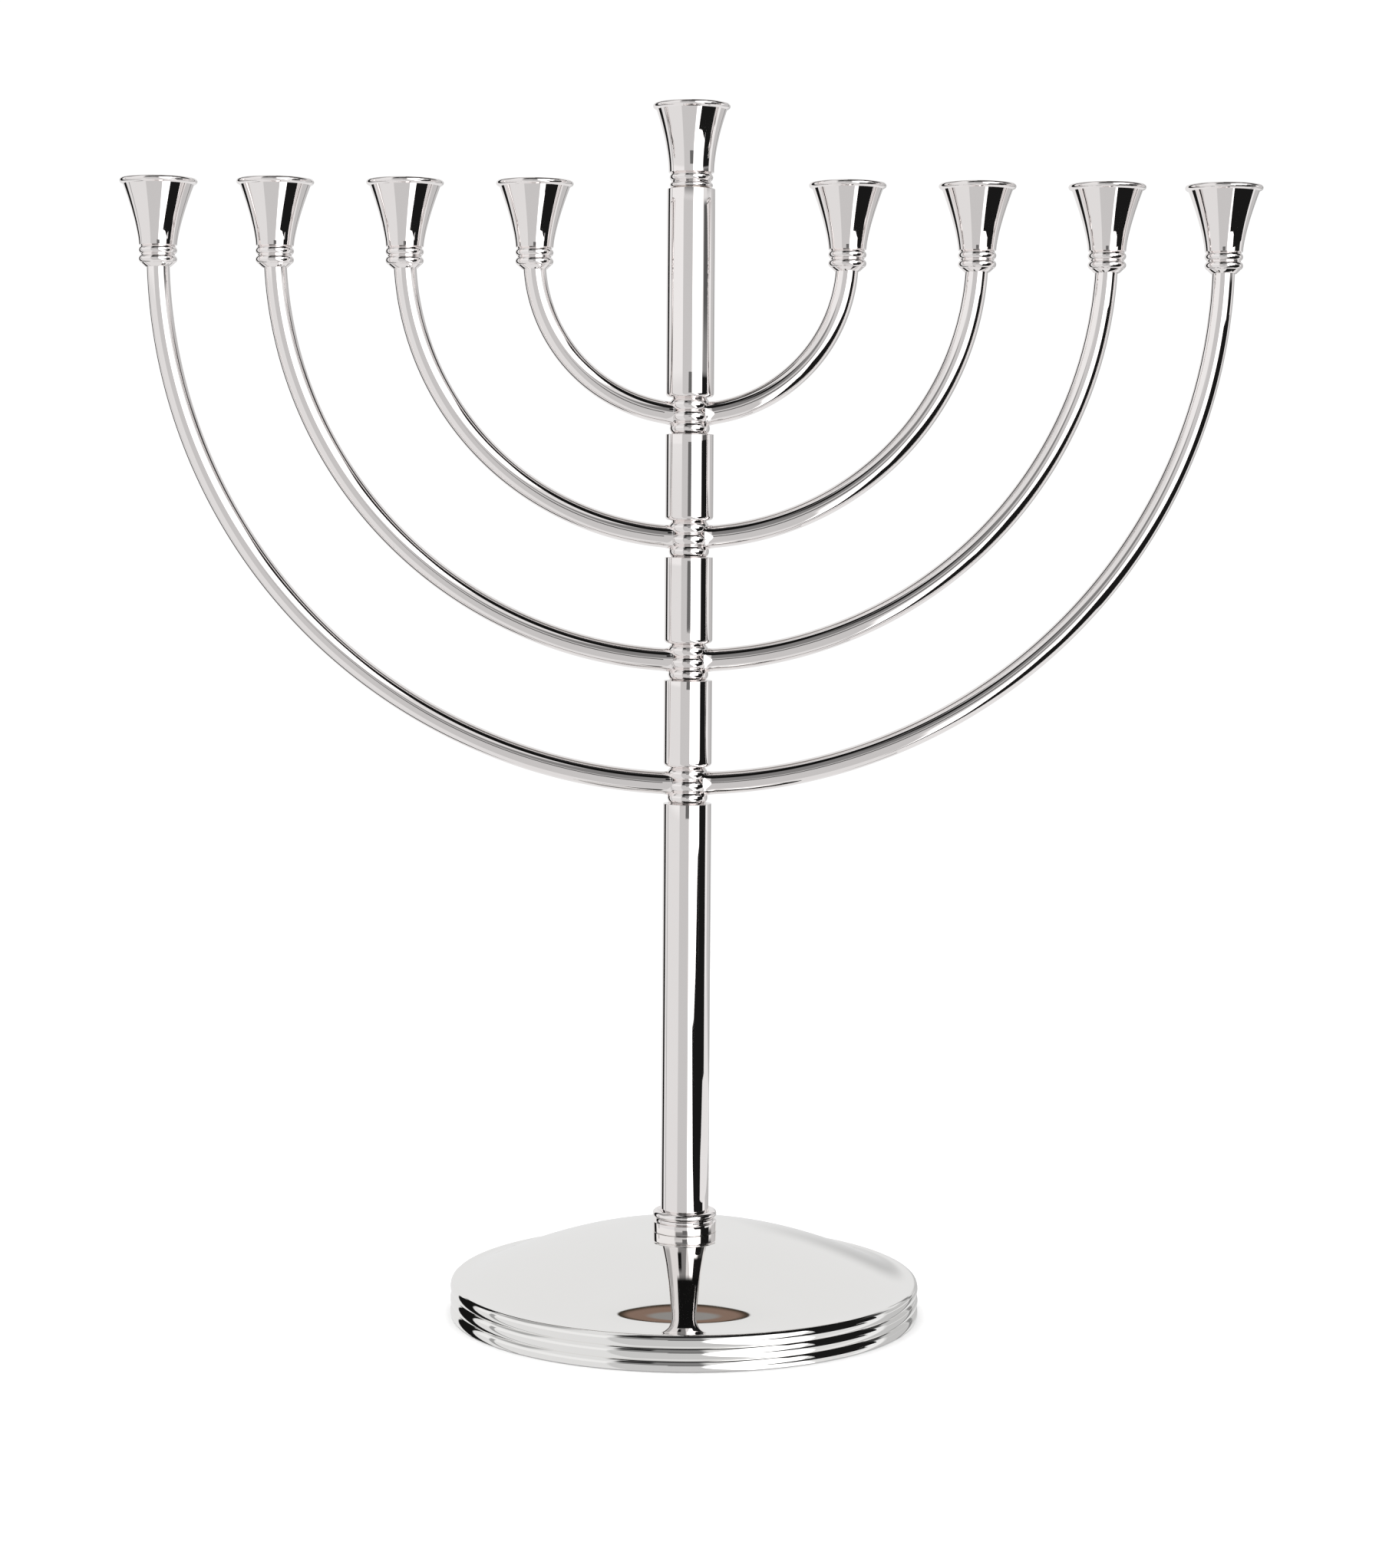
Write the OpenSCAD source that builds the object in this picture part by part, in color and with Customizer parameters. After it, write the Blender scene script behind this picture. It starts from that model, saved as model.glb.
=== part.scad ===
// Nine-branched candle holder for Hanukkah, polished silver plate.
// The origin is on the table under the middle of the base, +Z is up and the arms lie along X.
// Tiers are numbered from the bottom: tier 1 carries the outermost pair of arms, tier 4 the innermost.
// A steel tie rod clamps the base, the collar, the stem tubes and the knuckles into one stack.

/* [Base] */
// Diameter of the base over its reeds
base_d = 136.4; // [130:0.1:145]
// Height of the edge where the top meets the reeded side
base_edge_z = 9.9; // [9:0.1:11]
// Height of the flat rim round the top
rim_z = 10.15; // [10:0.05:10.4]
// Height of the flat crown that the collar stands on
crown_z = 23.6; // [22:0.1:25]
// Diameter of the crown
crown_d = 36; // [30:0.5:40]
// Diameter where the dome turns into the cove beside the rim
cove_d = 121.6; // [116:0.2:124]
// Inner diameter of the flat rim
rim_d = 131.2; // [129:0.2:133]
// Exponent of the dome's curve between crown and cove, 2 being a parabola
dome_power = 1.56; // [1.4:0.02:1.8]
// Wall of the spun dome
dome_wall = 1.3; // [1:0.1:1.5]
// Height of one reed on the side
reed_pitch = 3.45; // [3.3:0.05:3.6]
// Radius of a reed's rounding
reed_r = 2.75; // [2.4:0.05:3]
// Gap between the metal edge and the table
edge_gap = 0.3; // [0.2:0.05:0.5]
// Thickness of the felt under the base
felt_t = 1.5; // [1.2:0.1:2]
// Top of the cast weight's disc
weight_top_z = 8; // [6:0.5:8.5]

/* [Stem] */
// Outer diameter of the stem tubes
stem_d = 14.1; // [13.8:0.1:14.4]
// Bore of the stem tubes
stem_bore_d = 11.2; // [10.8:0.1:11.4]
// Rounding of a tube's lower outer edge
tube_round = 1.2; // [0.8:0.1:1.3]
// Top of the stem, where the shamash cup sits
stem_top_z = 328.4; // [326:0.1:332]
// Depth of the collar's seat for the lowest tube, above the collar's foot
collar_seat_h = 4.2; // [4:0.1:4.4]
// Outer diameter of the collar's foot band
collar_d = 18.6; // [18:0.1:19]

/* [Knuckles] */
// Height of the lowest pair of arms at the stem
tier_1_z = 154.4; // [150:0.1:160]
// Rise from one tier to the next
tier_step = 36; // [35:0.1:37]
// Diameter of the beads
bead_d = 11.8; // [11.6:0.1:12.2]
// Height of one bead
bead_pitch = 3.48; // [3.4:0.02:3.6]
// Depth of a knuckle's spigot inside a stem tube
spigot_l = 6; // [4:0.5:8]

/* [Arms] */
// Distance from the stem's axis to each pair of cups, lowest tier first
cup_x = [156, 121.8, 83.8, 45.8];
// Outer diameter of the arm tubes
arm_d = 6.7; // [6.4:0.1:7]
// Bore of the arm tubes
arm_bore_d = 5.1; // [4.8:0.1:5.4]
// Widest diameter of the brazed flare at the knuckle
flare_d = 9; // [8.4:0.1:9.4]

/* [Cups] */
// Height of the arm cups' lips
cup_lip_z = 329.7; // [327:0.1:331]
// Height of the shamash cup's lip
shamash_lip_z = 352.6; // [350:0.1:354]
// Outer diameter over the lip
lip_d = 22.7; // [22:0.1:23.2]
// Radius of the rolled lip
lip_r = 0.8; // [0.6:0.05:0.9]
// Diameter of the candle hole
candle_d = 9.8; // [9.2:0.1:9.9]
// Depth of the candle hole's straight wall
candle_h = 10; // [9:0.5:10]
// Length of the shamash's plug inside the stem
plug_l = 22; // [16:1:26]

/* [Hidden] */
$fn = 96;
eps = 0.01;

// Fits: brazed or pressed joints have a hair of room, the shamash's plug slides
braze_gap = 0.02;
slide_gap = 0.07;

// Base
base_r = base_d / 2;
reed_centre_r = base_r - reed_r;
reed_root_r = reed_centre_r + sqrt(pow(reed_r, 2) - pow(reed_pitch / 2, 2));
side_inner_r = reed_root_r - 1.6;
dome_end_r = reed_root_r - 0.05;
crown_r = crown_d / 2;
cove_r = cove_d / 2;
rim_r = rim_d / 2;
rim_round = 0.7;
// The dome's slope where it meets the cove, the same on both sides, and the height there
cove_slope = dome_power * (crown_z - rim_z) / (cove_r - crown_r + dome_power * (rim_r - cove_r) / 2);
cove_z = rim_z + cove_slope * (rim_r - cove_r) / 2;
function dome_z(r) =
    r <= crown_r ? crown_z :
    r <= cove_r ? crown_z - (crown_z - cove_z) * pow((r - crown_r) / (cove_r - crown_r), dome_power) :
    r <= rim_r ? rim_z + cove_slope * pow(rim_r - r, 2) / (2 * (rim_r - cove_r)) :
    rim_z;

// Collar, standing on the crown
collar_band_h = 2.9;
collar_neck_r = collar_d / 2 - 0.65;
collar_neck_h = 1.5;
flange_r = 1.15;
flange_z = crown_z + 5.05;
collar_seat_z = crown_z + collar_seat_h;
collar_spigot_h = 8;
dome_hole_r = 4;

// Tie rod, M5, with its nut and washer in the weight's recess
rod_r = 2.5;
rod_hole_r = 2.75;
nut_flats = 8;
nut_h = 4;
washer_r = 7.5;
washer_t = 1;
recess_r = 11;
recess_roof_z = 13;
rod_foot_z = recess_roof_z - washer_t - nut_h - 2;
boss_r = 14;
bush_h = 10;
bush_z = stem_top_z - plug_l - bush_h - 4;

// Stem and knuckles
stem_r = stem_d / 2;
stem_bore_r = stem_bore_d / 2;
bead_r = bead_d / 2;
bead_round = 2.1;
groove_r = bead_r - 0.75;
knuckle_under = 5.8;
knuckle_over = 5;
function tier_z(tier) = tier_1_z + (tier - 1) * tier_step;

// Arms: each is one arc round a centre on the stem's axis, from inside its knuckle to inside its cup's foot
arm_r = arm_d / 2;
arm_bore_r = arm_bore_d / 2;
arm_start_x = 4.2;
flare_x = 6.4;
flare_inner_l = 2;
flare_outer_l = 2.2;
cup_foot_z = cup_lip_z - 25.1;
arm_socket_h = 2.5;
function arm_centre_z(tier) = tier_z(tier) + cup_x[tier - 1];
function angle_at_x(tier, x) = asin(x / cup_x[tier - 1]) - 90;
function angle_at_z(tier, z) = asin((z - arm_centre_z(tier)) / cup_x[tier - 1]);

// Cups: the outside narrows from the lip to the rings as a power curve
lip_centre_r = lip_d / 2 - lip_r;
cup_l = 18.7;
cup_waist_r = 5.55;
cup_power = 1.4;
cup_ring_r = 5.6;
cup_groove_r = 4.95;
ring_round = 1.3;
shamash_l = 19.4;
shamash_waist_r = 6.65;
shamash_power = 1.72;
shamash_ring_r = 6.4;
shamash_groove_r = 5.75;
small_ring_round = 0.85;
cup_steps = 18;
candle_r = candle_d / 2;
candle_floor_l = 18;
mouth_l = candle_floor_l - candle_h;
mouth_r = lip_centre_r - 0.7;
mouth_power = 1.3;
function flare_r(waist, power, t) = waist + (lip_centre_r + 0.15 - waist) * pow(1 - t, power);
function mouth_curve(t) = candle_r + (mouth_r - candle_r) * pow(t, mouth_power);

silver = [0.83, 0.82, 0.80];
steel = [0.60, 0.61, 0.62];
iron = [0.20, 0.20, 0.21];
brass = [0.72, 0.58, 0.30];
felt = [0.05, 0.05, 0.06];

// ---- shared shapes ----

// A tube standing on z0, with its lower outer edge rounded
module stem_tube(z0, z1, rounding) {
    difference() {
        rotate_extrude() {
            translate([0, z0 + rounding]) square([stem_r, z1 - z0 - rounding]);
            translate([0, z0]) square([stem_r - rounding, rounding + eps]);
            translate([stem_r - rounding, z0 + rounding]) circle(rounding);
        }
        translate([0, 0, z0 - eps]) cylinder(r = stem_bore_r, h = z1 - z0 + 2 * eps);
    }
}

// A round bar bent along a tier's arc in the XZ plane, angles counted from +X towards +Z
module arm_bar(tier, bar_r, from, to) {
    translate([0, 0, arm_centre_z(tier)]) rotate([90, 0, 0]) rotate([0, 0, from])
        rotate_extrude(angle = to - from) translate([cup_x[tier - 1], 0]) circle(bar_r);
}

// Mirrors its children to the left side of the stem
module on_side(side) {
    mirror([side == "left" ? 1 : 0, 0, 0]) children();
}

// ---- base ----

module felt_pad() {
    color(felt) cylinder(r = side_inner_r - 0.5, h = felt_t);
}

// Cast disc with a boss that the collar's foot is clamped against, recessed below for the nut
module base_weight() {
    color(iron) difference() {
        union() {
            translate([0, 0, felt_t]) cylinder(r = side_inner_r - 0.5, h = weight_top_z - felt_t);
            translate([0, 0, felt_t]) cylinder(r = boss_r, h = crown_z - dome_wall - felt_t);
        }
        translate([0, 0, felt_t - eps]) cylinder(r = recess_r, h = recess_roof_z - felt_t + eps);
        translate([0, 0, recess_roof_z - eps]) cylinder(r = dome_hole_r, h = crown_z);
    }
}

module base_washer() {
    color(steel) translate([0, 0, recess_roof_z - washer_t]) difference() {
        cylinder(r = washer_r, h = washer_t);
        translate([0, 0, -eps]) cylinder(r = rod_hole_r, h = washer_t + 2 * eps);
    }
}

module base_nut() {
    color(steel) translate([0, 0, recess_roof_z - washer_t - nut_h]) difference() {
        cylinder(r = nut_flats / sqrt(3), h = nut_h, $fn = 6);
        translate([0, 0, -eps]) cylinder(r = rod_r + braze_gap, h = nut_h + 2 * eps);
    }
}

module tie_rod() {
    color(steel) translate([0, 0, rod_foot_z]) cylinder(r = rod_r, h = bush_z + bush_h - rod_foot_z);
}

// Radii from the middle to the rim, close together where the dome curves
function dome_radii() = concat([0],
    [for (i = [0 : 22]) crown_r + (cove_r - crown_r) * i / 22],
    [for (i = [1 : 8]) cove_r + (rim_r - cove_r) * i / 8]);

// The spun top with its crown, dome, cove and rim, and the side of three rounded reeds
module base_dome() {
    radii = dome_radii();
    outside = concat([for (r = radii) [r, dome_z(r)]],
        [[dome_end_r - rim_round, rim_z], [dome_end_r - rim_round / 3, rim_z - 0.07], [dome_end_r, base_edge_z]]);
    inside = concat([[side_inner_r + 0.3, rim_z - dome_wall]],
        [for (i = [len(radii) - 1 : -1 : 0]) [radii[i], dome_z(radii[i]) - dome_wall]]);
    color(silver) difference() {
        union() {
            rotate_extrude() polygon(concat(outside, inside));
            rotate_extrude() intersection() {
                union() for (i = [0 : 2])
                    translate([reed_centre_r, base_edge_z - (i + 0.5) * reed_pitch]) circle(reed_r);
                translate([side_inner_r, edge_gap]) square([reed_r * 2, base_edge_z - edge_gap]);
            }
        }
        translate([0, 0, crown_z - 2 * dome_wall]) cylinder(r = dome_hole_r + braze_gap, h = 3 * dome_wall);
    }
}

// ---- stem ----

// Collar between the dome and the stem: foot band, neck, rolled flange and the spigot inside the tube
module stem_collar() {
    color(silver) difference() {
        union() {
            translate([0, 0, crown_z]) cylinder(r = collar_d / 2, h = collar_band_h);
            translate([0, 0, crown_z]) cylinder(r = collar_neck_r, h = collar_band_h + collar_neck_h);
            rotate_extrude() translate([collar_d / 2 + 0.05 - flange_r, flange_z]) circle(flange_r);
            translate([0, 0, collar_seat_z])
                cylinder(r = stem_bore_r - braze_gap, h = collar_spigot_h);
            translate([0, 0, crown_z - dome_wall])
                cylinder(r = dome_hole_r, h = dome_wall + eps);
        }
        // Seat round the spigot for the lowest tube
        translate([0, 0, collar_seat_z]) difference() {
            cylinder(r = stem_r + braze_gap, h = collar_spigot_h);
            cylinder(r = stem_bore_r - braze_gap, h = collar_spigot_h);
        }
        translate([0, 0, crown_z - 2 * dome_wall])
            cylinder(r = rod_hole_r, h = collar_seat_h + collar_spigot_h + 3 * dome_wall);
    }
}

// Tube 1 stands in the collar, tubes 2 to 5 stand on the knuckles
module stem_piece(i) {
    z0 = i == 1 ? collar_seat_z : tier_z(i - 1) + knuckle_over;
    z1 = i == 5 ? stem_top_z : tier_z(i) - knuckle_under;
    color(silver) stem_tube(z0, z1, i == 1 ? 0.1 : tube_round);
}

// Three beads between two spigots, bored for the tie rod and for one pair of arms
module knuckle(tier) {
    z0 = -knuckle_under;
    color(silver) difference() {
        union() {
            translate([0, 0, tier_z(tier)]) rotate_extrude() intersection() {
                union() {
                    for (i = [0 : 2])
                        translate([bead_r - bead_round, z0 + (i + 0.5) * bead_pitch]) circle(bead_round);
                    translate([0, z0]) square([groove_r, knuckle_under + knuckle_over]);
                }
                translate([0, z0]) square([bead_r, knuckle_under + knuckle_over]);
            }
            translate([0, 0, tier_z(tier) - knuckle_under - spigot_l])
                cylinder(r = stem_bore_r - braze_gap, h = spigot_l + eps);
            translate([0, 0, tier_z(tier) + knuckle_over - eps])
                cylinder(r = stem_bore_r - braze_gap, h = spigot_l + eps);
        }
        translate([0, 0, tier_z(tier) - knuckle_under - spigot_l - eps])
            cylinder(r = rod_hole_r, h = knuckle_under + knuckle_over + 2 * (spigot_l + eps));
        for (side = ["left", "right"])
            on_side(side) arm_bar(tier, arm_r + braze_gap,
                angle_at_x(tier, arm_start_x - braze_gap), angle_at_x(tier, 2 * bead_r));
    }
}

// Bush brazed inside the top tube, threaded for the tie rod
module top_bush() {
    color(brass) translate([0, 0, bush_z]) difference() {
        cylinder(r = stem_bore_r - braze_gap, h = bush_h);
        translate([0, 0, -eps]) cylinder(r = rod_r + braze_gap, h = bush_h + 2 * eps);
    }
}

// ---- arms ----

module arm(side, tier) {
    from = angle_at_x(tier, arm_start_x);
    to = angle_at_z(tier, cup_foot_z + arm_socket_h);
    lean = angle_at_x(tier, flare_x) + 90;
    color(silver) on_side(side) difference() {
        union() {
            arm_bar(tier, arm_r, from, to);
            // Brazed flare, hollowed to sit against the knuckle's beads
            difference() {
                translate([0, 0, arm_centre_z(tier)]) rotate([0, -lean, 0])
                    translate([-flare_inner_l, 0, -cup_x[tier - 1]]) rotate([0, 90, 0])
                    cylinder(r1 = flare_d / 2, r2 = arm_r - 0.35, h = flare_inner_l + flare_outer_l);
                translate([0, 0, tier_z(tier) - 8]) cylinder(r = bead_r + braze_gap, h = 16);
            }
        }
        arm_bar(tier, arm_bore_r, from - 2, to + 1);
    }
}

// ---- cups ----

// Outline of a cup's bell from its waist to its lip, hollowed by the mouth and the candle hole
module bell(lip_z, length, waist, power) {
    outside = [for (i = [0 : cup_steps])
        let (t = 1 - i / cup_steps) [flare_r(waist, power, t), lip_z - length * t]];
    inside = [for (i = [0 : cup_steps])
        let (t = 1 - i / cup_steps) [mouth_curve(t), lip_z - mouth_l * (1 - t)]];
    rotate_extrude() {
        polygon(concat([[0, lip_z - length]], outside, inside,
            [[candle_r, lip_z - candle_floor_l], [0, lip_z - candle_floor_l]]));
        translate([lip_centre_r, lip_z]) circle(lip_r);
    }
}

module arm_cup(side, tier) {
    ring_z = cup_lip_z - cup_l - 0.2;
    color(silver) on_side(side) translate([cup_x[tier - 1], 0, 0]) difference() {
        union() {
            bell(cup_lip_z, cup_l, cup_waist_r, cup_power);
            rotate_extrude() {
                polygon([[0, cup_foot_z], [arm_r + 0.5, cup_foot_z], [cup_groove_r, cup_foot_z + 1.2],
                    [cup_groove_r, cup_lip_z - cup_l], [0, cup_lip_z - cup_l]]);
                for (i = [0 : 1])
                    translate([cup_ring_r - ring_round, ring_z - (2 * i + 1) * ring_round]) circle(ring_round);
            }
        }
        translate([-cup_x[tier - 1], 0, 0]) arm_bar(tier, arm_r + braze_gap,
            angle_at_z(tier, cup_foot_z - arm_socket_h), angle_at_z(tier, cup_foot_z + arm_socket_h + braze_gap));
    }
}

module shamash_cup() {
    foot_z = stem_top_z + 0.05;
    ring_z = shamash_lip_z - shamash_l - 0.1 - ring_round;
    color(silver) difference() {
        union() {
            bell(shamash_lip_z, shamash_l, shamash_waist_r, shamash_power);
            rotate_extrude() {
                translate([0, foot_z]) square([shamash_groove_r, shamash_lip_z - shamash_l - foot_z]);
                translate([shamash_ring_r - ring_round, ring_z]) circle(ring_round);
                translate([shamash_ring_r - 0.05 - small_ring_round, foot_z + small_ring_round])
                    circle(small_ring_round);
            }
        }
        translate([0, 0, foot_z - eps]) cylinder(r = dome_hole_r + braze_gap, h = 1.2);
    }
}

// Turned plug, soldered into the shamash cup's foot and free to slide in the stem
module shamash_plug() {
    color(brass) translate([0, 0, stem_top_z - plug_l]) {
        rotate_extrude() polygon([[0, 0], [stem_bore_r - slide_gap - 0.8, 0], [stem_bore_r - slide_gap, 0.8],
            [stem_bore_r - slide_gap, plug_l + 0.05], [dome_hole_r, plug_l + 0.05],
            [dome_hole_r, plug_l + 1.2], [0, plug_l + 1.2]]);
    }
}

felt_pad();
base_weight();
base_washer();
base_nut();
tie_rod();
base_dome();
stem_collar();
for (i = [1 : 5]) stem_piece(i);
for (tier = [1 : 4]) knuckle(tier);
top_bush();
for (side = ["left", "right"], tier = [1 : 4]) {
    arm(side, tier);
    arm_cup(side, tier);
}
shamash_cup();
shamash_plug();
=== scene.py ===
import math

import bpy
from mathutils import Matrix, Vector


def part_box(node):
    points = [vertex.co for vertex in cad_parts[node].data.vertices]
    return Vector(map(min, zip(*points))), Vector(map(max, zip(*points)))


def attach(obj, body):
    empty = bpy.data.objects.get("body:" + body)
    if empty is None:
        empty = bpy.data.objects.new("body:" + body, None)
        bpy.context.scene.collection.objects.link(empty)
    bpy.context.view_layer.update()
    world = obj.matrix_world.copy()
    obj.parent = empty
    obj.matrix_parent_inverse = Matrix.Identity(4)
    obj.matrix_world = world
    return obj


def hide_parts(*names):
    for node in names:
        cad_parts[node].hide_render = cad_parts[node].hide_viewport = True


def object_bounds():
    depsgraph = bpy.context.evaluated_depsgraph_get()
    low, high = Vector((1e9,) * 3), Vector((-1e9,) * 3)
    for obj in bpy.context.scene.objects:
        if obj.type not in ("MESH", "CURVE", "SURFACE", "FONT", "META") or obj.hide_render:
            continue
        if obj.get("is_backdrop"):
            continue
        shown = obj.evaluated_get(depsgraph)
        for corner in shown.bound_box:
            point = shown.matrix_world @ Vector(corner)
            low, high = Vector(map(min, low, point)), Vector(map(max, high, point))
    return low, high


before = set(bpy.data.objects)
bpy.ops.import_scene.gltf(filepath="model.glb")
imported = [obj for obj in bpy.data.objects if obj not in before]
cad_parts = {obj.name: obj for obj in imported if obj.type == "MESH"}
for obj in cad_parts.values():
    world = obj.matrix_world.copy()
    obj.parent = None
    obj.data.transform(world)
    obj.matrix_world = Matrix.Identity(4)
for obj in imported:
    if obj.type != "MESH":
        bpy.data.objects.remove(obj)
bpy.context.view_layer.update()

MM = 0.001


def box_mm(node):
    """Lowest and highest corner of a CAD node, in millimetres."""
    low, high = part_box(node)
    return low / MM, high / MM


# ---- driving sizes, in millimetres ----

# Base
base_edge_z = 9.9
rim_z = 10.15
dome_wall = 1.3
crown_z = box_mm("stem_collar")[0].z + dome_wall
crown_r = 18.0
# Out to ease_r the dome only gets steeper, and from there it eases off to the rim
ease_r = 55.0
rim_r = 65.6
slope_power = 0.56
ease_power = 3
dome_steps = 120
rim_round = 1.1
reed_pitch = 3.45
reed_r = 2.75
edge_gap = 0.3
base_r = box_mm("base_dome")[1].x
reed_centre_r = base_r - reed_r
reed_root_r = reed_centre_r + math.sqrt(reed_r**2 - (reed_pitch / 2) ** 2)
side_inner_r = reed_root_r - 1.6
dome_hole_r = 4.02

# Stem
stem_r = box_mm("stem_tube_1")[1].x
stem_bore_r = 5.6
tube_round = 1.2
collar_r = box_mm("stem_collar")[1].x - 0.05
collar_band_h = 2.9
collar_neck_r = collar_r - 0.65
flange_round = 1.15
flange_z = crown_z + 5.05
collar_seat_h = 4.2
collar_spigot_h = 8.0
rod_hole_r = 2.75

# Knuckles
bead_r = box_mm("knuckle_1")[1].y
bead_pitch = 3.48
bead_round = 2.1
groove_r = bead_r - 0.75
knuckle_under = 5.8
knuckle_over = 5.0
spigot_l = 6.0
spigot_r = stem_bore_r - 0.02
TIERS = (1, 2, 3, 4)
SIDES = {"left": -1, "right": 1}
tier_z = {tier: box_mm(f"knuckle_{tier}")[0].z + spigot_l + knuckle_under for tier in TIERS}

# Arms
arm_r = 3.35
arm_bore_r = 2.55
arm_start_x = 4.2
flare_r = 3.85
flare_start_x = 4.6
flare_end_x = 8.3
flare_power = 2.4
arm_socket_h = 2.5

# Cups
lip_r = 0.8
cup_lip_z = box_mm("cup_left_1")[1].z - lip_r
cup_foot_z = box_mm("cup_left_1")[0].z
cup_x = {
    tier: (box_mm(f"cup_right_{tier}")[0].x + box_mm(f"cup_right_{tier}")[1].x) / 2
    for tier in TIERS
}
lip_centre_r = (box_mm("cup_right_1")[1].x - box_mm("cup_right_1")[0].x) / 2 - lip_r
cup_l = 18.7
cup_waist_r = 5.55
cup_power = 1.4
cup_ring_r = 5.6
cup_groove_r = 4.95
ring_round = 1.3
shamash_low, shamash_high = box_mm("shamash_cup")
shamash_lip_z = shamash_high.z - lip_r
shamash_l = 19.4
shamash_waist_r = 6.65
shamash_power = 1.72
shamash_ring_r = 6.4
shamash_groove_r = 5.75
small_ring_round = 0.85
shamash_foot_z = shamash_low.z
seam = 0.2
candle_r = 4.9
candle_h = 10.0
candle_floor_l = 18.0
mouth_l = candle_floor_l - candle_h
mouth_r = lip_centre_r - 0.7
mouth_power = 1.3


# ---- outlines: lists of (radius, height) in millimetres ----

def arc(centre_r, centre_z, radius, start, end, steps):
    """Points of an arc, angles in degrees from the outward direction towards up."""
    return [
        (
            centre_r + radius * math.cos(math.radians(start + (end - start) * i / steps)),
            centre_z + radius * math.sin(math.radians(start + (end - start) * i / steps)),
        )
        for i in range(steps + 1)
    ]


def softened(outline, radius, steps=5, least_turn=20):
    """The closed outline with each corner rounded to radius, or less beside short edges."""
    made = []
    count = len(outline)
    for i in range(count):
        before, here, after = (Vector(outline[(i + k) % count]) for k in (-1, 0, 1))
        into, out = here - before, after - here
        turn = into.angle(out, 0)
        if turn < math.radians(least_turn) or here.x < 0.01:
            made.append(tuple(here))
            continue
        reach = min(radius * math.tan(turn / 2), 0.45 * into.length, 0.45 * out.length)
        first = here - into.normalized() * reach
        last = here + out.normalized() * reach
        for k in range(steps + 1):
            t = k / steps
            p = first * (1 - t) ** 2 + here * 2 * t * (1 - t) + last * t**2
            made.append(tuple(p))
    return made


def lathe(name, outline, centre_x=0.0, sides=128, crease=32):
    """A solid of revolution round a vertical axis at centre_x, from a closed outline in millimetres."""
    verts, faces, rings = [], [], []
    for r, z in outline:
        if r < 1e-4:
            rings.append([len(verts)])
            verts.append((centre_x * MM, 0, z * MM))
            continue
        rings.append(list(range(len(verts), len(verts) + sides)))
        for k in range(sides):
            a = 2 * math.pi * k / sides
            verts.append(((centre_x + r * math.cos(a)) * MM, r * math.sin(a) * MM, z * MM))
    for one, two in zip(rings, rings[1:] + rings[:1]):
        if len(one) == 1 and len(two) == 1:
            continue
        for k in range(sides):
            n = (k + 1) % sides
            corners = [one[k % len(one)], one[n % len(one)], two[n % len(two)], two[k % len(two)]]
            faces.append(tuple(dict.fromkeys(corners)))
    return solid(name, verts, faces, crease)


def solid(name, verts, faces, crease=32):
    """A mesh object with smooth faces and sharp edges only where the surface turns by more than crease."""
    mesh = bpy.data.meshes.new(name)
    mesh.from_pydata(verts, [], faces)
    mesh.validate()
    mesh.update()
    piece = bpy.data.objects.new(name, mesh)
    bpy.context.scene.collection.objects.link(piece)
    mesh.shade_smooth()
    mesh.set_sharp_from_angle(angle=math.radians(crease))
    return piece


# ---- base ----

def dome_slope(r):
    """How steep the dome is at a radius, unscaled: it grows from the crown and eases off to the rim."""
    climb = (r - crown_r) / (rim_r - crown_r)
    ease = max(0, (r - ease_r) / (rim_r - ease_r))
    return climb**slope_power * (1 - ease**ease_power)


def dome_points():
    """Radius and height down the dome, from its flat crown to its flat rim."""
    step = (rim_r - crown_r) / dome_steps
    falls = [0]
    for i in range(dome_steps):
        falls.append(falls[-1] + dome_slope(crown_r + (i + 0.5) * step))
    scale = (crown_z - rim_z) / falls[-1]
    return [(crown_r + i * step, crown_z - scale * fall) for i, fall in enumerate(falls)]


def dome_outline():
    """The dome's top, its soft rim, the three reeds of its side and its inner face."""
    half_turn = math.degrees(math.asin(reed_pitch / 2 / reed_r))
    dome = dome_points()
    top = [(dome_hole_r, crown_z), (collar_r, crown_z), (crown_r - 3, crown_z)] + dome
    # The rim turns over in a soft edge that runs into the first reed
    turn_r = reed_root_r - rim_round * math.cos(math.radians(half_turn))
    top += arc(turn_r, rim_z - rim_round, rim_round, 88, half_turn, 14)
    for i in range(3):
        centre_z = base_edge_z - (i + 0.5) * reed_pitch
        start = half_turn - (9 if i == 0 else 0)
        end = -half_turn if i < 2 else -math.degrees(math.asin((centre_z - edge_gap) / reed_r))
        top += arc(reed_centre_r, centre_z, reed_r, start, end, 22)
    inside = [(side_inner_r + 0.05, edge_gap), (side_inner_r + 0.05, rim_z - dome_wall)]
    inside += [(r, z - dome_wall) for r, z in reversed(dome[::3])]
    inside += [(dome_hole_r, crown_z - dome_wall)]
    return top + inside


# ---- stem ----

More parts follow.
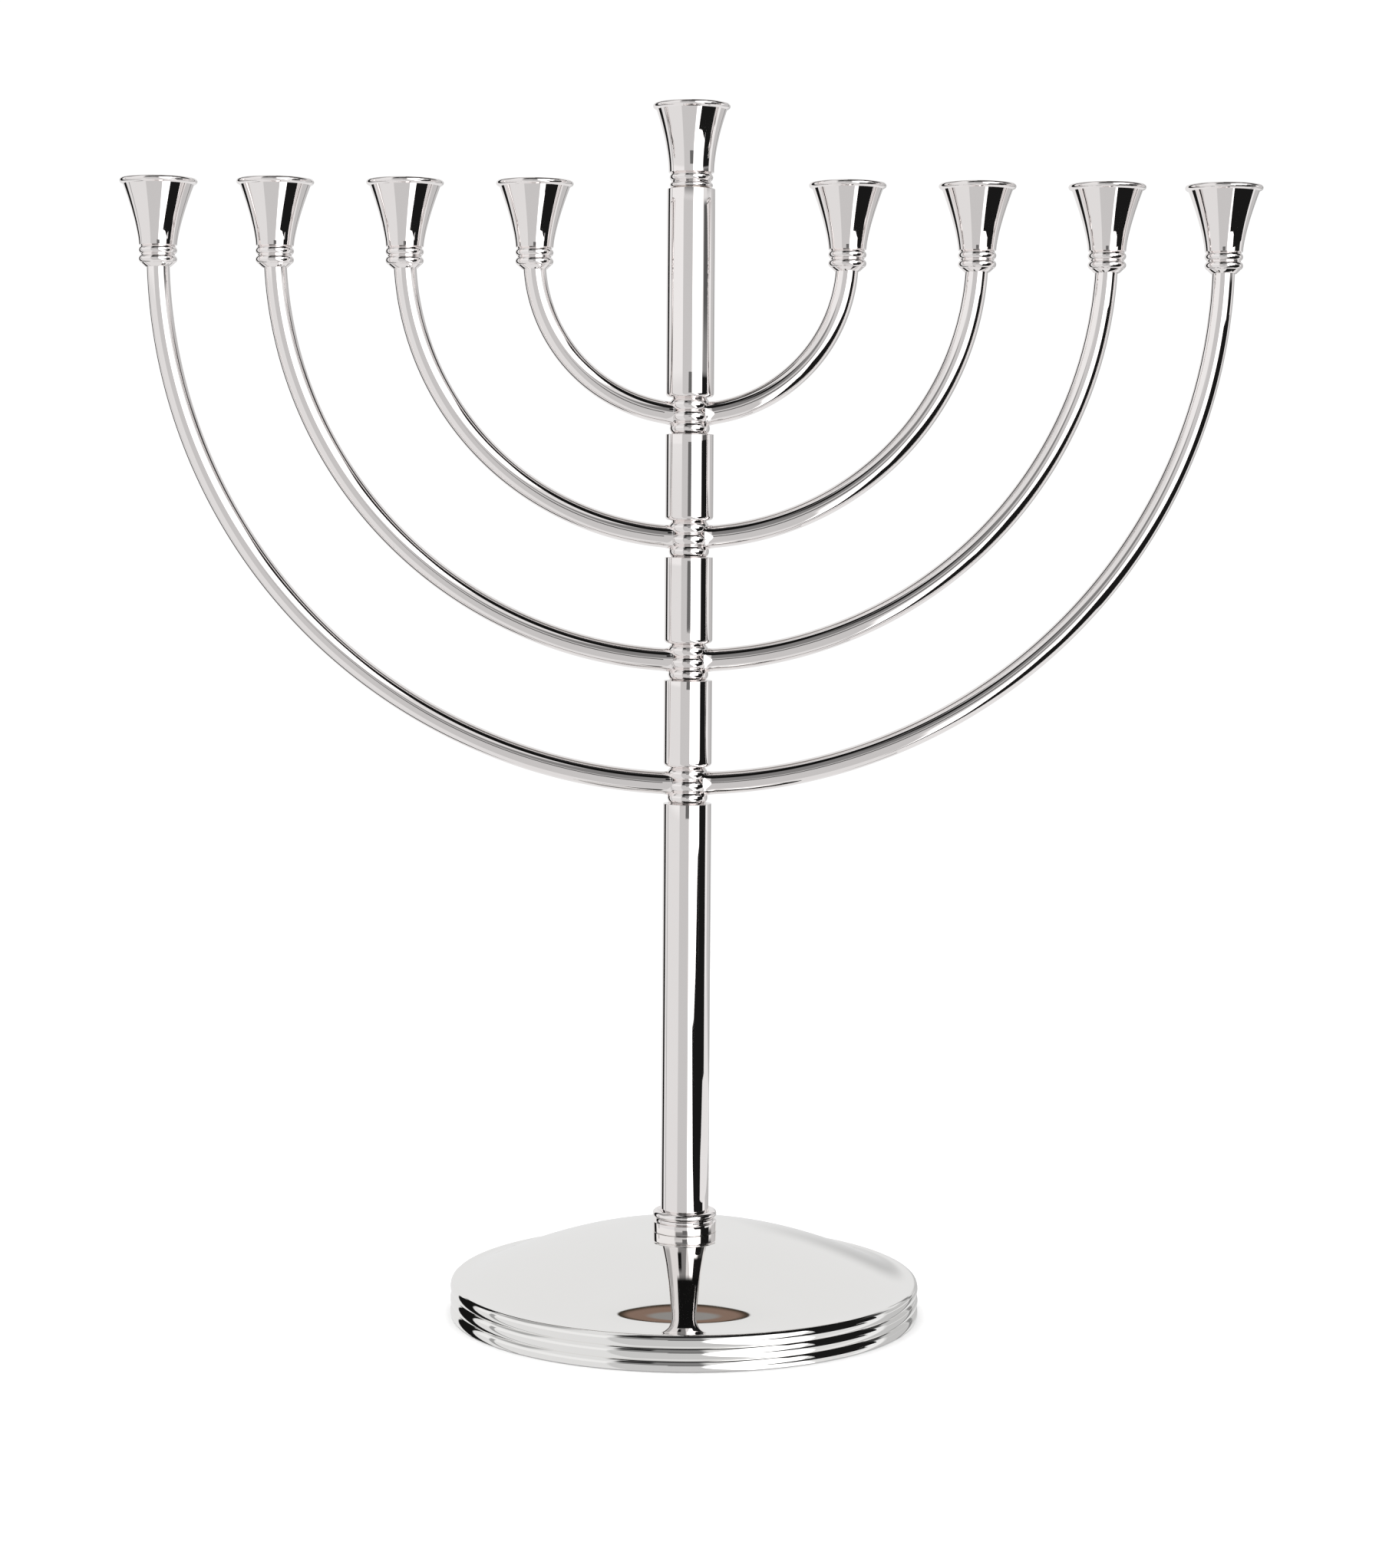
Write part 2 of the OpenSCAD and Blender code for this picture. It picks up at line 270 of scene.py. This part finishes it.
def collar_outline():
    """The collar's foot through the dome, its rolled flange, and the spigot inside the lowest tube."""
    seat_z = crown_z + collar_seat_h
    foot = softened(
        [
            (rod_hole_r, crown_z - dome_wall),
            (dome_hole_r - 0.02, crown_z - dome_wall),
            (dome_hole_r - 0.02, crown_z),
            (collar_r, crown_z),
            (collar_r, crown_z + collar_band_h),
            (collar_neck_r, crown_z + collar_band_h + 0.25),
            (collar_neck_r, flange_z - flange_round + 0.1),
        ],
        0.28,
    )
    flange = arc(collar_r + 0.05 - flange_round, flange_z, flange_round, -72, 100, 26)
    top = [
        (stem_r + 0.02, flange_z + 0.75),
        (stem_r + 0.02, seat_z),
        (spigot_r, seat_z),
        (spigot_r, seat_z + collar_spigot_h),
        (rod_hole_r, seat_z + collar_spigot_h),
    ]
    return foot + flange + top


def tube_outline(low_z, high_z, rounding):
    """A stem tube with its lower edge rounded as given and a crisp upper edge."""
    top = 0.18
    return (
        [(stem_bore_r, low_z), (stem_r - rounding, low_z)]
        + arc(stem_r - rounding, low_z + rounding, rounding, -84, 0, 14)
        + [(stem_r, low_z + (high_z - low_z) * i / 8) for i in range(1, 8)]
        + arc(stem_r - top, high_z - top, top, 0, 90, 5)
        + [(stem_bore_r, high_z)]
    )


def knuckle_outline(z):
    """Three beads between two spigots, round the height z where a pair of arms enters."""
    low = z - knuckle_under
    beads = []
    edge = math.degrees(math.asin(bead_pitch / 2 / bead_round))
    for i in range(3):
        centre_z = low + (i + 0.5) * bead_pitch
        beads += arc(bead_r - bead_round, centre_z, bead_round, -edge, edge, 20)
    return (
        [(rod_hole_r, low - spigot_l), (spigot_r, low - spigot_l), (spigot_r, low - 0.3), (groove_r, low)]
        + beads
        + [
            (groove_r, z + knuckle_over - 0.2),
            (spigot_r, z + knuckle_over),
            (spigot_r, z + knuckle_over + spigot_l),
            (rod_hole_r, z + knuckle_over + spigot_l),
        ]
    )


# ---- arms ----

def arm(name, side, tier):
    """A tube bent along one arc, from inside its knuckle to inside its cup, wider where it is brazed on."""
    sides, steps, crowding = 56, 220, 1.35
    radius = cup_x[tier]
    centre_z = tier_z[tier] + radius
    first = math.asin(arm_start_x / radius)
    last = math.pi / 2 + math.asin((cup_foot_z + arm_socket_h - centre_z) / radius)
    verts, faces = [], []

    def ring(angle, tube_r):
        start = len(verts)
        out = Vector((side * math.sin(angle), 0, -math.cos(angle)))
        middle = Vector((0, 0, centre_z)) + out * radius
        for k in range(sides):
            a = 2 * math.pi * k / sides
            verts.append((middle + (out * math.cos(a) + Vector((0, 1, 0)) * math.sin(a)) * tube_r) * MM)
        return list(range(start, start + sides))

    def width(angle):
        x = radius * math.sin(angle)
        t = min(1, max(0, (x - flare_start_x) / (flare_end_x - flare_start_x)))
        return arm_r + (flare_r - arm_r) * (1 - t) ** flare_power

    # Rings lie closer together where the brazed end flares out
    angles = [first + (last - first) * (i / steps) ** crowding for i in range(steps + 1)]
    rings = [ring(a, width(a)) for a in angles]
    rings += [ring(a, arm_bore_r) for a in reversed(angles)]
    for one, two in zip(rings, rings[1:] + rings[:1]):
        for k in range(sides):
            n = (k + 1) % sides
            quad = (one[k], one[n], two[n], two[k])
            faces.append(quad if side < 0 else quad[::-1])
    return solid(name, verts, faces, 40)


# ---- cups ----

def bell_outline(lip_z, length, waist, power):
    """The bell's outside from waist to lip, the rolled lip, the mouth and the candle hole."""
    steps = 44
    top_r = lip_centre_r + 0.15
    outside = []
    for i in range(steps + 1):
        t = (i / steps) ** 0.8
        r = waist + (top_r - waist) * t**power
        z = lip_z - length * (1 - t)
        if math.hypot(r - lip_centre_r, z - lip_z) > lip_r * 1.02:
            outside.append((r, z))
    lip = arc(lip_centre_r, lip_z, lip_r, -58, 205, 40)
    inside = []
    for i in range(steps + 1):
        t = 1 - i / steps
        r = candle_r + (mouth_r - candle_r) * t**mouth_power
        z = lip_z - mouth_l * (1 - t)
        if math.hypot(r - lip_centre_r, z - lip_z) > lip_r * 1.02:
            inside.append((r, z))
    hole = [(candle_r, lip_z - candle_floor_l + 0.3), (candle_r - 0.3, lip_z - candle_floor_l)]
    return outside + lip + inside + hole + [(0, lip_z - candle_floor_l)]


def cup_outline():
    """An arm cup: its socket, two foot rings and bell."""
    ring_z = cup_lip_z - cup_l - 0.2
    edge = math.degrees(math.acos((cup_groove_r - cup_ring_r + ring_round) / ring_round))
    foot = [(0, cup_foot_z + arm_socket_h), (arm_r + 0.02, cup_foot_z + arm_socket_h)]
    foot += [(arm_r + 0.02, cup_foot_z), (arm_r + 0.4, cup_foot_z), (cup_groove_r - 0.1, cup_foot_z + 1.1)]
    foot += [(cup_groove_r, cup_foot_z + 1.35)]
    rings = []
    for i in (1, 0):
        centre_z = ring_z - (2 * i + 1) * ring_round
        rings += arc(cup_ring_r - ring_round, centre_z, ring_round, -edge, edge, 22)
    return foot + rings + bell_outline(cup_lip_z, cup_l, cup_waist_r, cup_power)


def shamash_outline():
    """The shamash cup: its socket, a small and a large foot ring and its bell."""
    ring_z = shamash_lip_z - shamash_l - 0.1 - ring_round
    edge = math.degrees(math.acos((shamash_groove_r - shamash_ring_r + ring_round) / ring_round))
    small_r = shamash_ring_r - 0.05 - small_ring_round
    socket_r = dome_hole_r
    foot = [(0, shamash_foot_z + 1.2), (socket_r, shamash_foot_z + 1.2), (socket_r, shamash_foot_z)]
    # A narrow shadow gap where the loose cup stands on the stem
    foot += [(stem_r - 1.9, shamash_foot_z), (stem_r - 1.9, shamash_foot_z + seam)]
    foot += arc(small_r, shamash_foot_z + seam + small_ring_round, small_ring_round, -80, 62, 18)
    ring = arc(shamash_ring_r - ring_round, ring_z, ring_round, -edge, edge, 22)
    return foot + ring + bell_outline(shamash_lip_z, shamash_l, shamash_waist_r, shamash_power)


# ---- materials ----

class Shader:
    """A node tree with short calls for the nodes that the materials and the studio use."""

    def __init__(self, tree):
        self.tree = tree
        tree.nodes.clear()

    def node(self, kind, inputs=None, **settings):
        made = self.tree.nodes.new(kind)
        for key, value in settings.items():
            setattr(made, key, value)
        for key, value in (inputs or {}).items():
            if isinstance(value, bpy.types.NodeSocket):
                self.tree.links.new(value, made.inputs[key])
            else:
                made.inputs[key].default_value = value
        return made

    def math(self, operation, a, b=0.0):
        return self.node("ShaderNodeMath", {0: a, 1: b}, operation=operation).outputs[0]

    def smooth(self, value, low, high, to_low=0.0, to_high=1.0):
        inputs = {"Value": value, "From Min": low, "From Max": high, "To Min": to_low, "To Max": to_high}
        return self.node("ShaderNodeMapRange", inputs, interpolation_type="SMOOTHSTEP").outputs[0]

    def mix(self, factor, a, b):
        inputs = {0: factor, 6: a, 7: b}
        return self.node("ShaderNodeMix", inputs, data_type="RGBA").outputs[2]

    def noise(self, where, scale, detail=2.0, roughness=0.5):
        inputs = {"Vector": where, "Scale": scale, "Detail": detail, "Roughness": roughness}
        return self.node("ShaderNodeTexNoise", inputs).outputs[0]

    def place(self, stretch=(1, 1, 1)):
        where = self.node("ShaderNodeTexCoord").outputs["Object"]
        return self.node("ShaderNodeMapping", {"Vector": where, "Scale": stretch}).outputs[0]


def material(name):
    made = bpy.data.materials.new(name)
    made.use_nodes = True
    return made, Shader(made.node_tree)


def finish_material(shader, surface):
    shader.node("ShaderNodeOutputMaterial", {"Surface": surface.outputs[0]})


def silver(name, rough_low, rough_high, wave_mm, wave_scale, light, dark):
    """Hand-polished silver plate: slow waves from the buffing wheel, wipe marks and faint toning."""
    made, s = material(name)
    toning = s.noise(s.place(), 18, 3, 0.6)
    colour = s.mix(toning, (*light, 1), (*dark, 1))
    smears = s.noise(s.place((1, 1, 0.35)), 140, 4, 0.65)
    rough = s.smooth(smears, 0.35, 0.75, rough_low, rough_high)
    waves = s.noise(s.place(), wave_scale, 1.5, 0.45)
    bump = s.node("ShaderNodeBump", {"Height": waves, "Strength": 1.0, "Distance": wave_mm * MM})
    inputs = {"Base Color": colour, "Metallic": 1.0, "Roughness": rough, "Normal": bump.outputs[0]}
    finish_material(s, s.node("ShaderNodeBsdfPrincipled", inputs))
    return made


def felt():
    made, s = material("felt_fuzz")
    where = s.place()
    fibres = s.noise(where, 1900, 4, 0.75)
    clumps = s.noise(where, 220, 3, 0.6)
    colour = s.mix(clumps, (0.006, 0.006, 0.008, 1), (0.022, 0.022, 0.027, 1))
    both = s.math("ADD", fibres, clumps)
    bump = s.node("ShaderNodeBump", {"Height": both, "Strength": 0.7, "Distance": 0.25 * MM})
    inputs = {"Base Color": colour, "Roughness": 0.95, "Sheen Weight": 0.35, "Normal": bump.outputs[0]}
    finish_material(s, s.node("ShaderNodeBsdfPrincipled", inputs))
    return made


def rough_metal(name, dark, light, rough, grain_scale, bump_mm):
    """A plain hidden metal: cast, turned or plated, with a grain and a slight bump."""
    made, s = material(name)
    grain = s.noise(s.place(), grain_scale, 4, 0.65)
    colour = s.mix(grain, (*dark, 1), (*light, 1))
    shine = s.smooth(grain, 0.3, 0.7, rough - 0.08, rough + 0.1)
    bump = s.node("ShaderNodeBump", {"Height": grain, "Strength": 0.6, "Distance": bump_mm * MM})
    inputs = {"Base Color": colour, "Metallic": 1.0, "Roughness": shine, "Normal": bump.outputs[0]}
    finish_material(s, s.node("ShaderNodeBsdfPrincipled", inputs))
    return made


WARM = ((0.972, 0.938, 0.93), (0.95, 0.912, 0.902))
NEUTRAL = ((0.962, 0.955, 0.942), (0.94, 0.93, 0.915))
silver_stem = silver("silver_stem", 0.015, 0.045, 0.022, 55, *WARM)
silver_arm = silver("silver_arm", 0.015, 0.045, 0.025, 60, *WARM)
silver_cup = silver("silver_cup", 0.015, 0.04, 0.012, 60, *WARM)
silver_dome = silver("silver_dome", 0.015, 0.035, 0.012, 30, *NEUTRAL)
cast_iron = rough_metal("iron_cast", (0.10, 0.10, 0.105), (0.20, 0.20, 0.205), 0.6, 420, 0.2)
zinc_steel = rough_metal("steel_zinc", (0.46, 0.47, 0.48), (0.62, 0.63, 0.64), 0.32, 260, 0.02)
turned_brass = rough_metal("brass_turned", (0.60, 0.44, 0.20), (0.72, 0.56, 0.28), 0.3, 300, 0.02)

for node, made in {
    "felt_pad": felt(),
    "base_weight": cast_iron,
    "base_washer": zinc_steel,
    "base_nut": zinc_steel,
    "tie_rod": zinc_steel,
    "top_bush": turned_brass,
    "shamash_plug": turned_brass,
}.items():
    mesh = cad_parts[node].data
    mesh.materials.clear()
    mesh.materials.append(made)


# ---- pieces ----

def fit_out(piece, node, made, body="root"):
    piece.data.materials.append(made)
    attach(piece, body)
    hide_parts(node)


fit_out(lathe("base_dome_metal", dome_outline(), sides=256), "base_dome", silver_dome)
fit_out(lathe("stem_collar_metal", collar_outline()), "stem_collar", silver_stem)
for i in range(1, 6):
    low, high = box_mm(f"stem_tube_{i}")
    outline = tube_outline(low.z, high.z, 0.12 if i == 1 else tube_round)
    fit_out(lathe(f"stem_tube_{i}_metal", outline), f"stem_tube_{i}", silver_stem)
for tier in TIERS:
    fit_out(
        lathe(f"knuckle_{tier}_metal", knuckle_outline(tier_z[tier])), f"knuckle_{tier}", silver_stem
    )
    for side_name, side in SIDES.items():
        node = f"arm_{side_name}_{tier}"
        fit_out(arm(f"{node}_metal", side, tier), node, silver_arm)
        node = f"cup_{side_name}_{tier}"
        cup = lathe(f"{node}_metal", cup_outline(), centre_x=side * cup_x[tier], sides=112)
        fit_out(cup, node, silver_cup)
fit_out(lathe("shamash_cup_metal", shamash_outline()), "shamash_cup", silver_cup, "shamash")


# ---- studio ----

def plain(name, colour, rough):
    """A plain painted surface with the faintest unevenness."""
    made, s = material(name)
    grain = s.noise(s.place(), 9, 2, 0.5)
    shade = s.mix(grain, (colour, colour, colour, 1), (colour * 1.02, colour * 1.02, colour * 1.02, 1))
    finish_material(s, s.node("ShaderNodeBsdfPrincipled", {"Base Color": shade, "Roughness": rough}))
    return made


def floor():
    """A pale round table top. The metal mirrors the room's lower half in its place."""
    radius, rings, sides = 0.9, 12, 96
    verts, faces = [(0, 0, 0)], []
    for i in range(1, rings + 1):
        for k in range(sides):
            a = 2 * math.pi * k / sides
            verts.append((radius * i / rings * math.cos(a), radius * i / rings * math.sin(a), 0))
    for k in range(sides):
        faces.append((0, 1 + k, 1 + (k + 1) % sides))
    for i in range(1, rings):
        for k in range(sides):
            n = (k + 1) % sides
            inner, outer = 1 + (i - 1) * sides, 1 + i * sides
            faces.append((inner + k, outer + k, outer + n, inner + n))
    piece = solid("floor", verts, faces)
    piece.data.materials.append(plain("floor_pale", 0.9, 0.9))
    piece.visible_glossy = False
    piece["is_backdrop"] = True


def card(name, corners, brightness):
    """A flat studio card, corners in millimetres, that only the polished metal sees."""
    verts = [tuple(c * MM for c in corner) for corner in corners]
    piece = solid(name, verts, [tuple(range(len(verts)))])
    made, s = material(name)
    shade = {"Color": (brightness, brightness, brightness, 1), "Strength": 1.0}
    finish_material(s, s.node("ShaderNodeEmission", shade))
    piece.data.materials.append(made)
    piece.visible_camera = False
    piece.visible_diffuse = False
    piece.visible_shadow = False
    piece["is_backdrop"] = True


def from_middle(azimuth, distance, z):
    """A point at an azimuth from the camera's side towards the right, in millimetres."""
    a = math.radians(azimuth)
    return (distance * math.sin(a), -distance * math.cos(a), z)


def on_table(*points):
    """Corners of a card that lies on the table, in millimetres."""
    return [(x, y, 1) for x, y in points]


# Each patch of the studio: azimuths from the camera's side towards the right, elevations, both in
# degrees, the softness of the edge and the brightness. Later patches lie over earlier ones.
PATCHES = [
    ("back_glow", (135, 225), (-60, 58), 9, 0.80),
    ("back_shade", (140, 174), (-14, 9), 6, 0.55),
    ("wall_high", (-118, -36), (1.5, 24), 1.5, 0.87),
    ("wall_shade", (-36, 45), (-60, 11), 1.5, 0.58),
    ("softbox", (9, 58), (-60, 49), 1.5, 1.6),
    ("left_upper", (-118, -84), (24, 60), 6, 0.40),
    ("right_upper", (82, 126), (13, 60), 4, 0.05),
    ("right_high", (57, 126), (36, 66), 2, 0.01),
    ("left_line", (-141, -122), (-60, 66), 1.0, 0.008),
    ("left_thin_line", (-107, -103), (-60, 12), 0.7, 0.35),
    ("right_strip", (99, 112), (-60, 8), 1.0, 0.88),
    ("right_grey", (114, 140), (-60, 20), 2, 0.55),
    ("right_line", (141, 147), (-60, 30), 1, 0.25),
    ("right_flag", (60, 97), (-9, 2.5), 1.0, 0.012),
    ("right_flag_upper", (64, 97), (2.5, 9), 1.5, 0.10),
    ("gap", (-33, 11), (13, 50), 3, 0.22),
    ("ceiling_side", (-50, 180), (61, 95), 2, 0.03),
    ("ceiling_flag", (-48, 120), (48, 70), 1.5, 0.006),
    ("ceiling_flag_left", (-36, -16), (30, 45), 2, 0.006),
]
WALL = 0.76
# How fast the softbox's edges move right with the square of the elevation, and the far ceiling's edges
# sink with the square of the angle from straight behind
SOFTBOX_BOW = 0.012
CEILING_BOW = 0.005


def studio():
    """The room round the object. The camera sees plain white, and the metal mirrors the patches."""
    world = bpy.data.worlds.new("studio")
    bpy.context.scene.world = world
    world.use_nodes = True
    s = Shader(world.node_tree)
    ray = s.node("ShaderNodeTexCoord").outputs["Generated"]
    split = s.node("ShaderNodeSeparateXYZ", {0: ray}).outputs
    towards = s.math("MULTIPLY", split[1], -1.0)
    azimuth = s.math("DEGREES", s.math("ARCTAN2", split[0], towards))
    behind = s.math("DEGREES", s.math("ARCTAN2", s.math("MULTIPLY", split[0], -1.0), split[1]))
    elevation = s.math("DEGREES", s.math("ARCSINE", split[2]))
    level = WALL
    for name, (a0, a1), (e0, e1), soft, bright in PATCHES:
        turn, shift = (behind, 180) if a1 > 180 else (azimuth, 0)
        # The softbox is round on its left, so it begins further right above and below
        if name == "softbox":
            bow = s.math("MULTIPLY", s.math("POWER", elevation, 2.0), SOFTBOX_BOW)
            turn = s.math("SUBTRACT", azimuth, bow)
        inside = s.smooth(elevation, e0 - soft, e0 + soft)
        inside = s.math("MULTIPLY", inside, s.smooth(elevation, e1 - soft, e1 + soft, 1.0, 0.0))
        inside = s.math("MULTIPLY", inside, s.smooth(turn, a0 - shift - soft, a0 - shift + soft))
        before_end = s.smooth(turn, a1 - shift - soft, a1 - shift + soft, 1.0, 0.0)
        inside = s.math("MULTIPLY", inside, before_end)
        change = s.math("MULTIPLY", inside, s.math("SUBTRACT", bright, level))
        level = s.math("ADD", level, change)
    grey = s.node("ShaderNodeCombineColor", {0: level, 1: level, 2: level}).outputs[0]
    # Behind the object the ceiling has a dark edge, a strip of warm wood and then grey
    height = s.math("ADD", elevation, s.math("MULTIPLY", s.math("POWER", behind, 2.0), CEILING_BOW))
    wood = s.mix(s.smooth(height, 57.6, 58.6), (0.04, 0.03, 0.02, 1), (0.23, 0.155, 0.12, 1))
    far = s.mix(s.smooth(height, 59.4, 59.9), wood, (0.27, 0.26, 0.25, 1))
    reach = s.math("MULTIPLY", s.smooth(height, 57.3, 57.6), s.smooth(elevation, 72, 80, 1.0, 0.0))
    reach = s.math("MULTIPLY", reach, s.smooth(s.math("ABSOLUTE", behind), 45, 50, 1.0, 0.0))
    tint = s.mix(reach, grey, far)
    room = s.node("ShaderNodeBackground", {"Color": tint, "Strength": 1.0})
    white = s.node("ShaderNodeBackground", {"Color": (1, 1, 1, 1), "Strength": 1.05})
    seen = s.node("ShaderNodeLightPath").outputs["Is Camera Ray"]
    chosen = s.node("ShaderNodeMixShader", {0: seen, 1: room.outputs[0], 2: white.outputs[0]})
    s.node("ShaderNodeOutputWorld", {"Surface": chosen.outputs[0]})


def overhead_light(strength):
    """Wide soft light from above that lights the floor evenly and isn't mirrored in the metal."""
    light = bpy.data.lights.new("overhead_light", "SUN")
    light.energy = strength
    light.angle = math.radians(110)
    lit = bpy.data.objects.new("overhead_light", light)
    bpy.context.scene.collection.objects.link(lit)
    lit.location = (0, 0, 1.5)
    lit.visible_glossy = False


floor()
studio()
overhead_light(3.4)

# Black paper on the table at the front right, with a white sheet along its right edge
BLACK = 0.01
paper_left = on_table((122, -42), (196, -118), (250, -255), (312, -418))
paper_right = on_table((518, 27), (354, -19), (224, -50))
card("card_paper", paper_left + paper_right, BLACK)
card("card_sheet_right", paper_right + on_table((136, -34), (136, 300), (700, 300)), 0.8)

# The dark floor of the room beyond the table. Its far edge lies where a line that drops from a cup
# by the second angle, at the first angle's azimuth, comes down to it.
room_floor_z = -119
cup_middle_z = 340
far_edge = [
    from_middle(azimuth, (cup_middle_z - room_floor_z) / math.tan(math.radians(drop)), room_floor_z)
    for azimuth, drop in ((30, 20), (45, 18.4), (51.5, 17), (60, 16))
]
near_edge = [from_middle(92, 1400, room_floor_z), (600, 60, room_floor_z), (400, -420, room_floor_z)]
card("card_room_floor", [from_middle(40, 700, room_floor_z)] + far_edge + near_edge, BLACK)

# A dark stretch of the wall behind that floor, higher towards the right
wall_distance = 1250
wall_foot = [from_middle(azimuth, wall_distance, room_floor_z) for azimuth in (36, 60)]
wall_top = [from_middle(azimuth, wall_distance, z) for azimuth, z in ((60, 50), (51.5, -11), (45, -76))]
card("card_room_wall", wall_foot + wall_top, BLACK)

# A black board that stands at the right, and the camera as the metal sees it
card("card_standing", [(346, -200, 1), (397, 55, 1), (397, 55, 285), (346, -200, 285)], BLACK)
card("card_camera", [(-125, -950, 165), (160, -950, 165), (150, -950, 315), (-110, -950, 315)], 0.14)


# ---- camera ----

camera_back = 932.0
camera_up = 232.9
camera_side = 0.1
# The sensor's size is along the picture's taller side, and the drop is a part of that side
sensor_mm = 36.0
lens_mm = 73.074
picture_drop = 0.17143
lean = math.radians(0.38)

eye = bpy.data.cameras.new("camera")
eye.sensor_width = sensor_mm
eye.sensor_fit = "AUTO"
eye.lens = lens_mm
eye.shift_y = -picture_drop
eye.clip_start = 0.05
eye.clip_end = 30
camera = bpy.data.objects.new("camera", eye)
bpy.context.scene.collection.objects.link(camera)
camera.location = Vector((camera_side, -camera_back, camera_up)) * MM
camera.rotation_euler = (math.pi / 2, -lean, 0)
bpy.context.scene.camera = camera
bpy.context.scene.view_settings.view_transform = "Standard"

low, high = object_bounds()
